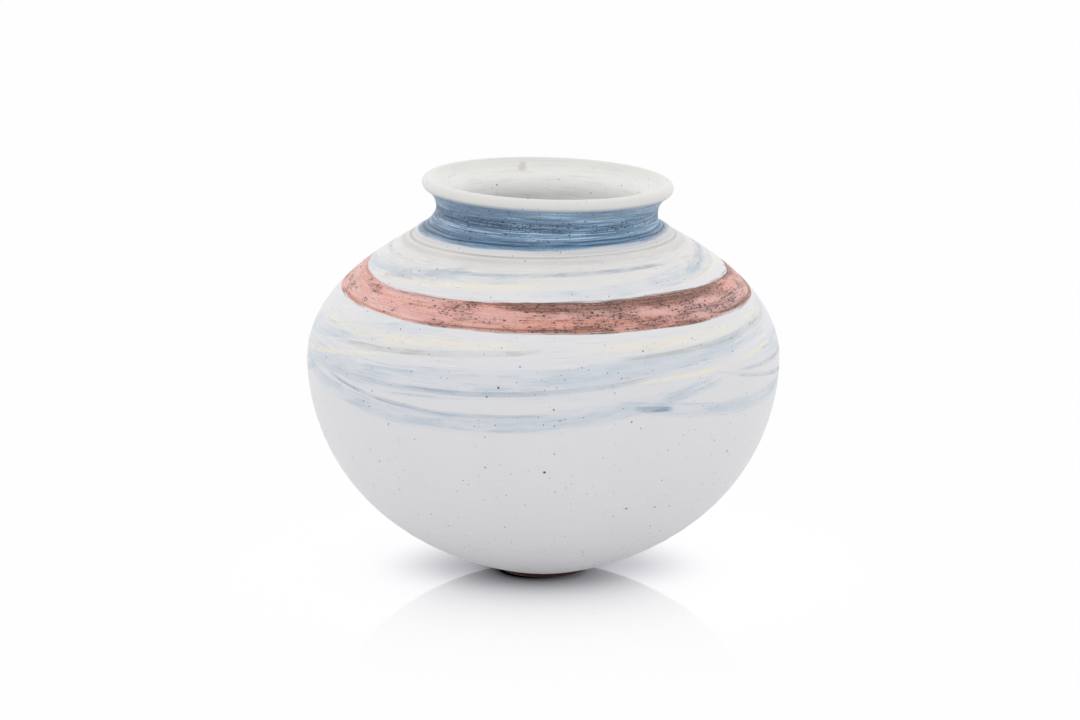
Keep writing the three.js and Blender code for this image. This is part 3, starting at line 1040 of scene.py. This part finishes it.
def specks(board, place, spacing, size, share):
    inputs = {"Place": place, "Spacing": spacing, "Size": size, "Share": share}
    return board.use(iron_specks, inputs)["Speck"]


def lay_washes(board, at, colour, laid, washes, seed):
    """Brushes washes over a colour. Returns the colour and how much slip lies there."""
    for i, wash in enumerate(washes):
        made = board.use(brush_strokes, {
            "Turn": at["Turn"], "Level": at["Level"], "Laid": laid, "First": math.radians(wash.first),
            "Count": wash.count, "Reach": math.radians(wash.reach), "At": wash.level, "Dip": wash.dip,
            "Climb": wash.climb, "Width": wash.width, "Dryness": wash.dryness, "Seed": seed + i,
        })
        cover = made["Cover"] * wash.strength
        thin, ridge = SLIPS[wash.slip]
        colour = board.tint(cover, colour, thin)
        colour = board.tint(made["Line"] * (0.5 * wash.strength), colour, ridge)
        laid = cover + laid
    return colour, laid


def iron_spots(context, board, at, colour, laid):
    """Scatters iron specks of four sizes over a colour, the small ones in swarms, more where slip lies."""
    iron = context.scene.glaze_look.iron
    swarm = board.ease(board.noise(at["Clay"], 0.11, 1.0), 0.4, 0.68)
    for spacing, size, share, strength in (
        (1.2, 0.24, 0.05 + (0.14 + laid * 1.1) * swarm, 0.65),
        (2.1, 0.36, 0.08 + (0.16 + laid * 0.9) * swarm, 0.85),
        (3.8, 0.5, 0.2 + laid * 0.6, 0.9),
        (10.0, 0.8, 0.4, 0.95),
    ):
        colour = board.tint(specks(board, at["Clay"], spacing, size, share) * strength, colour, iron)
    return colour


def cut_grooves(board, level, worn, grooves, colour):
    """Dark lines that run level round the vase, worn away in places."""
    for above_joint, half, dark in grooves:
        away = abs(level - (neck_level / MM + above_joint))
        colour = board.tint(board.ease(away, half, half * 0.2) * (0.15 + 0.55 * worn), colour, dark)
    return colour


def salmon_band(context, board, at, colour, laid):
    """The broad salmon band on the shoulder, with lighter strokes in it, and iron in streaks and grit."""
    look = context.scene.glaze_look
    turn = at["Turn"] + laid * PUSHED_ROUND
    sine = board.sine(turn)
    cosine = board.cosine(turn)
    path = BAND_LEVEL - BAND_DIP * cosine - BAND_TILT * sine + BAND_WANDER * board.sine(turn * 3.0 + 0.8)
    half = BAND_HALF + BAND_WANDER * board.sine(turn * 2.0 + 0.4)
    offset = at["Level"] - path
    across = offset / half
    coarse = streaks(board, turn, offset, 0.9, 2.0, 3.0)
    fine = streaks(board, turn, offset, 3.4, 4.5, 5.0)
    edge = abs(across) + (coarse["Streak"] - 0.5) * 0.16 + (fine["Streak"] - 0.5) * 0.12
    cover = board.ease(edge, 1.06, 0.92)
    slip = board.tint(coarse["Broad"], look.salmon, look.rose)
    slip, laid = lay_washes(board, {"Turn": turn, "Level": offset}, slip, 0.0, BAND_STROKES, 71)
    heavy = board.ease(board.cosine(turn - HEAVY_TURN), -0.3, 1.0)
    light = board.ease(fine["Streak"], 0.35, 1.0) * (0.75 - 0.6 * heavy)
    slip = board.tint(light, slip, DRY_SALMON)
    cloud = board.noise(board.ring(turn, 4.5, offset * 0.28), 1.0, 3.0, 0.6)
    burnt = board.ease(cloud + edge * 0.08 + laid * 0.03 + heavy * 0.13, 0.52, 0.76)
    dry = board.ease(fine["Streak"], 0.8, 0.2)
    wedge = board.ease(board.cosine(turn - WEDGE_TURN), 0.55, 1.0) * 0.6
    upper = board.ease(across + (cloud - 0.5) * 1.3 + wedge, 0.7, 1.15) * heavy
    lower = board.ease(across * -1 + (cloud - 0.5) * 0.9, 0.55, 0.95) * heavy
    slip = board.tint(board.larger(lower * 0.75, upper * 0.5), slip, OCHRE_EDGE)
    scratched = board.ease(fine["Streak"], 0.42, 0.08)
    slip = board.tint(burnt * (0.25 + 0.35 * dry + 0.4 * scratched), slip, look.rust)
    slip = board.tint(upper * (0.3 + 0.3 * dry + 0.4 * scratched), slip, look.rust)
    broken = board.ease(coarse["Streak"], 0.3, 0.6) * (0.4 + 0.6 * heavy)
    low_edge = board.ease(abs(across + 0.8), 0.11, 0.02)
    high_edge = board.ease(abs(across - 0.88), 0.13, 0.02)
    slip = board.tint(board.larger(low_edge, high_edge) * broken * 0.75, slip, look.rust)
    gritty = board.larger(burnt, board.larger(upper, lower) * 0.8)
    grit = specks(board, board.ring(turn, 26, offset), 0.62, 0.38, 0.06 + 0.9 * gritty)
    fine_grit = specks(board, at["Clay"], 0.5, 0.3, 0.12 + 0.75 * gritty)
    slip = board.tint(board.larger(grit * 0.95, fine_grit * 0.9), slip, RUST_GRIT)
    slip = board.tint(specks(board, at["Clay"], 1.5, 0.42, 0.05 + 0.25 * gritty) * 0.9, slip, look.iron)
    return board.tint(cover * 0.97, colour, slip), cover


# Finishes


def title(make):
    """A function's name as words."""
    return make.__name__.replace("_", " ").capitalize()


def tree_of(make):
    """The node tree that a function makes. It is made once, and named after the function."""
    return bpy.data.node_groups.get(title(make)) or make(title(make))


def finish_of(make, context):
    """The material whose nodes a function lays out. It is made once, and named after the function."""
    made = bpy.data.materials.get(title(make))
    if made is None:
        made = bpy.data.materials.new(title(make))
        made.use_nodes = True
        make(context, Board(made.node_tree), made.node_tree.nodes["Principled BSDF"])
    return made


def on_vase(context, board):
    return board.use(place_on_the_vase, lean_of(context.scene.vase_sizes))


def satin(board, at, colour):
    inputs = {"Clay": at["Clay"], "Turn": at["Turn"], "Level": at["Level"], "Glaze": colour}
    return board.use(satin_glaze, inputs)


def join_shader(board, shader, colour, roughness, height, distance):
    """Joins a finish's colour, roughness and height to its shader."""
    board.fill(shader.inputs["Base Color"], colour)
    board.fill(shader.inputs["Roughness"], roughness)
    bump = board.node("ShaderNodeBump", {"Strength": 1.0, "Distance": distance, "Height": height})
    board.fill(shader.inputs["Normal"], bump)


def join_slipped(board, shader, glaze, colour, laid, proud):
    """Joins a glaze to its shader, with slip on it that is a little rougher and stands proud."""
    roughness = glaze["Roughness"] + laid * 0.04
    join_shader(board, shader, colour, roughness, glaze["Height"] + laid * proud, GLAZE_SKIN)


def brushed_white_glaze(context, board, shader):
    """White glaze of the lower bowl with the washes that hang below the belly."""
    at = on_vase(context, board)
    glaze = satin(board, at, context.scene.glaze_look.white)
    colour, laid = lay_washes(board, at, glaze["Colour"], 0.0, BELLY_ARCS, 1)
    colour = iron_spots(context, board, at, colour, laid)
    join_slipped(board, shader, glaze, colour, laid, 0.5)


def banded_white_glaze(context, board, shader):
    """White glaze of the upper bowl with its washes and the salmon band."""
    at = on_vase(context, board)
    level = at["Level"]
    warm = board.tint(board.ease(level, *WARM_SHOULDER) * 0.4, context.scene.glaze_look.white, WARM_WHITE)
    glaze = satin(board, at, warm)
    colour, laid = glaze["Colour"], 0.0
    for washes, seed in ((BELLY_ARCS, 1), (BELLY_WASHES, 21), (SHOULDER_WASHES, 51)):
        colour, laid = lay_washes(board, at, colour, laid, washes, seed)
    swept = streaks(board, at["Turn"] + laid * 0.006, level - laid * 0.5, 1.8, 5.0, 61.0)["Streak"]
    patches = board.ease(board.noise(at["Clay"], 0.06, 2.0), 0.42, 0.62) * board.ease(level, *SWEPT_BODY)
    colour = board.tint(board.ease(swept, 0.6, 1.0) * patches * 0.4, colour, SWEPT_LIGHT)
    colour = board.tint(board.ease(swept, 0.4, 0.0) * patches * 0.22, colour, SWEPT_DARK)
    colour, band = salmon_band(context, board, at, colour, laid)
    worn = streaks(board, at["Turn"], level, 0.6, 1.6, 31.0)["Broad"]
    colour = cut_grooves(board, level, worn, SHOULDER_GROOVES, colour)
    colour = iron_spots(context, board, at, colour, laid)
    join_slipped(board, shader, glaze, colour, laid + band * 1.5, 0.5)


def brushed_blue_neck(context, board, shader):
    """Blue oxide brushed round the neck over white glaze, with navy streaks and grit."""
    look = context.scene.glaze_look
    at = on_vase(context, board)
    turn = at["Turn"]
    level = at["Level"]
    glaze = satin(board, at, board.tint(board.ease(level, *IVORY_NECK), look.white, look.ivory))
    coarse = streaks(board, turn, level, 0.7, 1.5, 21.0)
    fine = streaks(board, turn, level, 3.0, 2.6, 23.0)
    rough = (coarse["Streak"] - 0.5) * 0.9 + (fine["Streak"] - 0.5) * 0.7
    cover = board.ease(level + rough, *BLUE_FOOT) * board.ease(level + rough * 0.4, *BLUE_TOP)

    def belt(middle, half):
        away = abs(level + (coarse["Broad"] - 0.5) * 0.6 - middle)
        return board.ease(away, half, half * 0.2)

    thick = board.ease(fine["Streak"], 0.8, 0.2)
    slip = board.tint(board.ease(fine["Broad"], 0.35, 0.9) * 0.5, look.blue, BRUSHED_BLUE)
    slip = board.tint(board.ease(coarse["Streak"], 0.5, 0.0) * 0.5, slip, look.navy)
    slip = board.tint(thick * 0.4, slip, look.navy)
    slip = board.tint(board.ease(level, *PALE_BLUE) * 0.55, slip, WASHED_BLUE)
    thin = board.larger(belt(*THIN_BELT), board.ease(level, *BARE_BLUE))
    slip = board.tint(board.ease(fine["Streak"], 0.45, 0.95) * (0.35 + 0.65 * thin), slip, CLAY_BLUE)
    dark = board.ease(board.cosine(turn - DARK_TURN), 0.5, 1.0)
    slip = board.tint(dark * 0.25, slip, look.navy)
    patches = board.ease(board.noise(board.scaled(at["Clay"], 0.05), 1.0, 2.0), 0.35, 0.6)
    heavy = belt(*HEAVY_BELT) * (0.35 + 0.65 * patches)
    slip = board.tint(heavy * (0.25 + 0.7 * thick), slip, look.navy)
    lines = board.larger(belt(*LOW_LINE), belt(*HIGH_LINE))
    slip = board.tint(lines * (0.55 + 0.4 * thick), slip, look.navy)
    grit = specks(board, board.ring(turn, 20, level), 0.66, 0.38, 0.06 + 0.85 * heavy)
    fine_grit = specks(board, at["Clay"], 0.55, 0.32, 0.14 + 0.7 * heavy)
    slip = board.tint(board.larger(grit * 0.9, fine_grit * 0.85), slip, NAVY_GRIT)
    colour = board.tint(cover * 0.96, glaze["Colour"], slip)
    colour = cut_grooves(board, level, coarse["Broad"], RING_GROOVES, colour)
    colour = iron_spots(context, board, at, colour, 0.5)
    join_slipped(board, shader, glaze, colour, cover, 0.6)


def throat_colour(look, board, at):
    """Thin streaky glaze at the mouth, with painted shade high in the throat over the paler lining, and a
    faint stain at the back.
    """
    # Painted shade at the top of the throat, giving way to the paler lining further down
    colour = board.tint(board.ease(at["Level"], *RIM_SHADE), look.ivory, look.rim)
    colour = board.tint(board.ease(at["Level"], *LINING_DEPTH), colour, look.lining)
    wash = streaks(board, at["Turn"], at["Level"], 1.1, 2.6, 41.0)["Streak"]
    colour = board.tint(board.ease(wash, 0.5, 0.0) * 0.25, colour, THROAT_WASH)
    x, y, z = board.parts(at["Clay"])
    ragged = (board.noise(at["Clay"], 0.7, 2.0) - 0.5) * 2.2
    aside = x - STAIN_X
    above = z - STAIN_LEVEL
    from_stain = board.math("SQRT", aside * aside + above * above) + ragged
    stain = board.ease(from_stain, *STAIN_RADII) * board.math("GREATER_THAN", y, 0.0)
    return board.tint(stain * 0.4, colour, STAIN)


def ivory_lip_glaze(context, board, shader):
    """Ivory glaze of the lip, paler inside, with a breath of the neck's blue where it turns under that is
    partly painted shade.
    """
    look = context.scene.glaze_look
    at = on_vase(context, board)
    sizes = context.scene.vase_sizes
    crest = (sizes.waist_radius + sizes.lip_overhang - sizes.lip_rounding) / MM
    joint = Section(sizes).lip_level / MM
    inward = board.ease(at["Radius"], crest + 1.5, crest - 1.5)
    glaze = satin(board, at, board.tint(inward, look.ivory, throat_colour(look, board, at)))
    # Where the lip turns under: partly the neck's blue reaching up, partly painted shade of the underside
    under = board.ease(at["Level"], joint + 1.8, joint) * (1 - inward)
    colour = board.tint(under * 0.55, glaze["Colour"], look.blue)
    colour = iron_spots(context, board, at, colour, 0.0)
    join_shader(board, shader, colour, glaze["Roughness"] - 0.08, glaze["Height"], LIP_SKIN)


def lining_glaze(context, board, shader):
    """Pale glaze of the inside."""
    at = on_vase(context, board)
    glaze = satin(board, at, throat_colour(context.scene.glaze_look, board, at))
    colour = iron_spots(context, board, at, glaze["Colour"], 0.0)
    join_shader(board, shader, colour, glaze["Roughness"] - 0.1, glaze["Height"], LINING_SKIN)


def millimetres(board):
    """The place in a piece, in millimetres."""
    return board.scaled(board.out("ShaderNodeTexCoord", key="Object"), 1 / MM)


def wool_felt(context, board, shader):
    """Pressed wool felt, dark red-brown, with lighter and darker wool in it."""
    here = millimetres(board)
    wool = board.noise(here, 1.1, 4.0, 0.7, 1.5)
    fluff = board.noise(here, 5.0, 3.0, 0.7, 2.0)
    colour = board.tint(wool, fired(44, 18, 16), fired(112, 50, 44))
    colour = board.tint(fluff * 0.4, colour, fired(30, 20, 20))
    join_shader(board, shader, colour, 0.88 + 0.12 * fluff, wool + fluff, FELT_SKIN)
    shader.inputs["Sheen Weight"].default_value = 0.35
    shader.inputs["Sheen Roughness"].default_value = 0.5
    shader.inputs["Specular IOR Level"].default_value = 0.15


def set_glue(context, board, shader):
    """Clear amber glue with a few bubbles."""
    here = millimetres(board)
    flow = board.noise(here, 0.6, 2.0)
    bubbles = specks(board, here, 1.2, 0.3, 0.3)
    colour = board.tint(flow, fired(206, 186, 138), fired(182, 156, 104))
    colour = board.tint(bubbles * 0.6, colour, fired(226, 214, 180))
    join_shader(board, shader, colour, 0.25 + 0.2 * flow, flow - bubbles * 0.5, GLUE_SKIN)


# Operators


# Faces round the felt and the glue
DISC_SIDES = 160
# How far in from the felt's edge its nap reaches, and the floor under it
NAP_WIDTH = 0.5 * MM


class VASE_OT_lower_bowl(Operator):
    """Turn the lower bowl, from the foot to the joint at the belly"""

    bl_idname = "vase.lower_bowl"
    bl_label = "Lower Bowl"

    def execute(self, context):
        marks = Section(context.scene.vase_sizes).lower_bowl()
        piece = turned_piece(context, "glazed_lower_bowl", marks, brushed_white_glaze, lining_glaze)
        stand_for(piece, "lower_bowl")
        return {"FINISHED"}


class VASE_OT_upper_bowl(Operator):
    """Turn the upper bowl, from the joint at the belly to the foot of the neck"""

    bl_idname = "vase.upper_bowl"
    bl_label = "Upper Bowl"

    def execute(self, context):
        marks = Section(context.scene.vase_sizes).upper_bowl()
        piece = turned_piece(context, "glazed_upper_bowl", marks, banded_white_glaze, lining_glaze)
        stand_for(piece, "upper_bowl")
        return {"FINISHED"}


class VASE_OT_neck_collar(Operator):
    """Turn the neck collar, with its ring, cove and flare"""

    bl_idname = "vase.neck_collar"
    bl_label = "Neck Collar"

    def execute(self, context):
        marks = Section(context.scene.vase_sizes).neck_collar()
        piece = turned_piece(context, "brushed_neck_collar", marks, brushed_blue_neck, lining_glaze)
        stand_for(piece, "neck_collar")
        return {"FINISHED"}


class VASE_OT_rolled_lip(Operator):
    """Turn the rolled lip"""

    bl_idname = "vase.rolled_lip"
    bl_label = "Rolled Lip"

    def execute(self, context):
        marks = Section(context.scene.vase_sizes).rolled_lip()
        piece = turned_piece(context, "glazed_rolled_lip", marks, ivory_lip_glaze, ivory_lip_glaze)
        stand_for(piece, "rolled_lip")
        return {"FINISHED"}


class VASE_OT_felt_pad(Operator):
    """Cut the felt pad and raise the nap on its rim"""

    bl_idname = "vase.felt_pad"
    bl_label = "Felt Pad"

    def execute(self, context):
        marks = disc(pad_radius, 0, pad_top, 0.3 * MM)
        changes = {"Waver": 0.12 * MM, "Outside Rings": 0.0, "Sides": DISC_SIDES}
        piece = turned_piece(context, "napped_felt_pad", marks, wool_felt, wool_felt, **changes)
        add_nodes(piece, felt_nap, {"Rim": pad_radius - NAP_WIDTH, "Finish": finish_of(wool_felt, context)})
        stand_for(piece, "felt_pad")
        return {"FINISHED"}


class VASE_OT_glue_film(Operator):
    """Spread the film of glue between the foot and the felt"""

    bl_idname = "vase.glue_film"
    bl_label = "Glue Film"

    def execute(self, context):
        marks = disc(film_radius, pad_top, foot_level, 0.1 * MM)
        changes = {"Waver": 0.35 * MM, "Outside Rings": 0.0, "Sides": DISC_SIDES}
        piece = turned_piece(context, "spread_glue_film", marks, set_glue, set_glue, **changes)
        stand_for(piece, "pad_adhesive")
        return {"FINISHED"}


class VASE_OT_stage(Operator):
    """Set up the floor, the light tent and the camera"""

    bl_idname = "vase.stage"
    bl_label = "Stage"

    def execute(self, context):
        look = context.scene.tent_look
        lay_floor(context)
        raise_tent(context, look)
        set_camera(context, look)
        context.scene.view_settings.view_transform = "Standard"
        return {"FINISHED"}


# Floor, light tent and camera


FLOOR_RADIUS = 4.0
FLOOR_SIDES = 64
# The shade on the floor, in millimetres: how far it is moved and where it starts outside the felt, then how
# fast it clears and how much darker the floor is beside the foot
SHADE_SHIFT = 3.5
SHADE_MARGIN = 0.8
SHADE_RATE = -0.0815
SHADE_POWER = 0.93
BESIDE_FOOT_SHADE = 0.36
# How much narrower the shade is near the foot, and the distances between which that ends, in millimetres
SHADE_PINCH = 0.16
PINCH_END = (42.0, 20.0)
# Where the floor beside the foot clears again, outwards and towards the front, in millimetres
BESIDE_REACH = (72.0, 28.0)
FRONT_REACH = (-48.0, 12.0)
# The mirror in the floor: its strength round the foot, how far that reaches and how fast it fades outside
MIRROR_STRENGTH = 0.64
MIRROR_REACH = 28.0
MIRROR_FADE = -36.0
# Light that the floor gives of itself, and its share in what the vase sees
FLOOR_GLOW = 0.95
GLOW_SHARE = 0.16


def lay_floor(context):
    """A wide white floor, open under the pad, so that the felt shows from below."""
    mesh = bpy.data.meshes.new("floor")
    corners = []
    faces = []
    for i in range(FLOOR_SIDES):
        angle_here = 2 * math.pi * i / FLOOR_SIDES
        after = (i + 1) % FLOOR_SIDES
        for radius in (pad_radius - NAP_WIDTH, FLOOR_RADIUS):
            corners.append((radius * math.cos(angle_here), radius * math.sin(angle_here), 0))
        faces.append((2 * i, 2 * i + 1, 2 * after + 1, 2 * after))
    mesh.from_pydata(corners, [], faces)
    floor = bpy.data.objects.new("floor", mesh)
    context.scene.collection.objects.link(floor)
    mesh.materials.append(finish_of(white_acrylic_floor, context))


def floor_shade(board, x, y, away):
    """Brightness of the floor: dark at the foot, a little darker beside it, and 1 further out."""
    moved_x = x / MM * (1 + SHADE_PINCH * board.ease(away, *PINCH_END)) + SHADE_SHIFT
    from_middle = board.math("SQRT", moved_x * moved_x + y * y / (MM * MM))
    from_foot = board.larger(from_middle - (pad_radius / MM + SHADE_MARGIN), 0.0)
    shade = 1 - board.math("EXPONENT", board.math("POWER", from_foot, SHADE_POWER) * SHADE_RATE)
    beside_foot = board.ease(away, *BESIDE_REACH) * board.ease(y / MM, *FRONT_REACH)
    return shade * (1 - BESIDE_FOOT_SHADE * beside_foot)


def white_acrylic_floor(context, board, shader):
    """Seen only from above, and lights the vase as a white floor does. To the camera it is plain white,
    with shade round the foot and the vase mirrored near it."""
    shader.inputs["Base Color"].default_value = (0.9, 0.9, 0.905, 1)
    shader.inputs["Roughness"].default_value = 0.5
    x, y, _ = board.parts(board.out("ShaderNodeTexCoord", key="Object"))
    away = board.math("SQRT", x * x + y * y) / MM
    shade = floor_shade(board, x, y, away)
    cool = shade + shade * (1 - shade) * 0.1
    shade_colour = board.out("ShaderNodeCombineColor", {0: shade, 1: shade * 0.99, 2: cool})
    fading = board.math("EXPONENT", board.larger(away - MIRROR_REACH, 0.0) / MIRROR_FADE)
    mirror = board.node("ShaderNodeBsdfGlossy", {"Color": shade_colour, "Roughness": 0.04})
    plain = board.node("ShaderNodeEmission", {"Color": shade_colour, "Strength": 1.0})
    polished = board.blend(MIRROR_STRENGTH * fading, plain, mirror)
    glow = board.node("ShaderNodeEmission", {"Color": (1, 1, 1, 1), "Strength": FLOOR_GLOW})
    white = board.blend(GLOW_SHARE, shader, glow)
    paper = board.blend(board.out("ShaderNodeLightPath", key="Is Camera Ray"), white, polished)
    clear = board.node("ShaderNodeBsdfTransparent")
    surface = board.blend(board.out("ShaderNodeNewGeometry", key="Backfacing"), paper, clear)
    board.fill(board.tree.nodes["Material Output"].inputs["Surface"], surface)


def raise_tent(context, look):
    """Even white light from all round, stronger from above and behind, and plain white to the camera."""
    world = bpy.data.worlds.new("Light tent")
    world.use_nodes = True
    board = Board(world.node_tree)
    _, back, up = board.parts(board.out("ShaderNodeTexCoord", key="Generated"))
    level = board.between(board.ease(back, -0.5, 0.9), look.around, look.behind)
    light = world.node_tree.nodes["Background"]
    light.inputs["Color"].default_value = (1, 1, 1, 1)
    board.fill(light.inputs["Strength"], board.between(board.ease(up, -0.1, 0.9), level, look.above))
    paper = board.node("ShaderNodeBackground", {"Color": (1, 1, 1, 1), "Strength": 1.0})
    surface = board.blend(board.out("ShaderNodeLightPath", key="Is Camera Ray"), light, paper)
    board.fill(world.node_tree.nodes["World Output"].inputs["Surface"], surface)
    context.scene.world = world


def set_camera(context, look):
    """Stands the camera in front of the vase, a little above it."""
    camera_data = bpy.data.cameras.new("camera")
    camera_data.lens = look.lens
    camera_data.sensor_width = SENSOR_WIDTH
    camera_data.clip_end = 100
    camera = bpy.data.objects.new("camera", camera_data)
    context.scene.collection.objects.link(camera)
    back = Vector((0, -math.cos(look.elevation), math.sin(look.elevation)))
    camera.location = Vector(look.aim) + back * look.distance
    camera.rotation_euler = (-back).to_track_quat("-Z", "Y").to_euler()
    context.scene.camera = camera


class VASE_PT_builder(Panel):
    """Sidebar panel with the vase's steps in order"""

    bl_idname = "VASE_PT_builder"
    bl_label = "Thrown Vase"
    bl_space_type = "VIEW_3D"
    bl_region_type = "UI"
    bl_category = "Vase"

    def draw(self, context):
        column = self.layout.column(align=True)
        for step in STEPS:
            column.operator(step.bl_idname)
        for group in (context.scene.vase_sizes, context.scene.glaze_look, context.scene.tent_look):
            box = self.layout.box()
            for name in group.bl_rna.properties.keys():
                if name not in {"rna_type", "name"}:
                    box.prop(group, name)


STEPS = (
    VASE_OT_lower_bowl, VASE_OT_upper_bowl, VASE_OT_neck_collar, VASE_OT_rolled_lip, VASE_OT_felt_pad,
    VASE_OT_glue_film, VASE_OT_stage,
)
CLASSES = (VaseSizes, GlazeLook, TentLook, *STEPS, VASE_PT_builder)


def register():
    for made in CLASSES:
        bpy.utils.register_class(made)
    bpy.types.Scene.vase_sizes = PointerProperty(type=VaseSizes)
    bpy.types.Scene.glaze_look = PointerProperty(type=GlazeLook)
    bpy.types.Scene.tent_look = PointerProperty(type=TentLook)


def unregister():
    del bpy.types.Scene.tent_look
    del bpy.types.Scene.glaze_look
    del bpy.types.Scene.vase_sizes
    for made in reversed(CLASSES):
        bpy.utils.unregister_class(made)


def main():
    register()
    bpy.ops.vase.lower_bowl()
    bpy.ops.vase.upper_bowl()
    bpy.ops.vase.neck_collar()
    bpy.ops.vase.rolled_lip()
    bpy.ops.vase.felt_pad()
    bpy.ops.vase.glue_film()
    bpy.ops.vase.stage()


if __name__ == "__main__":
    main()
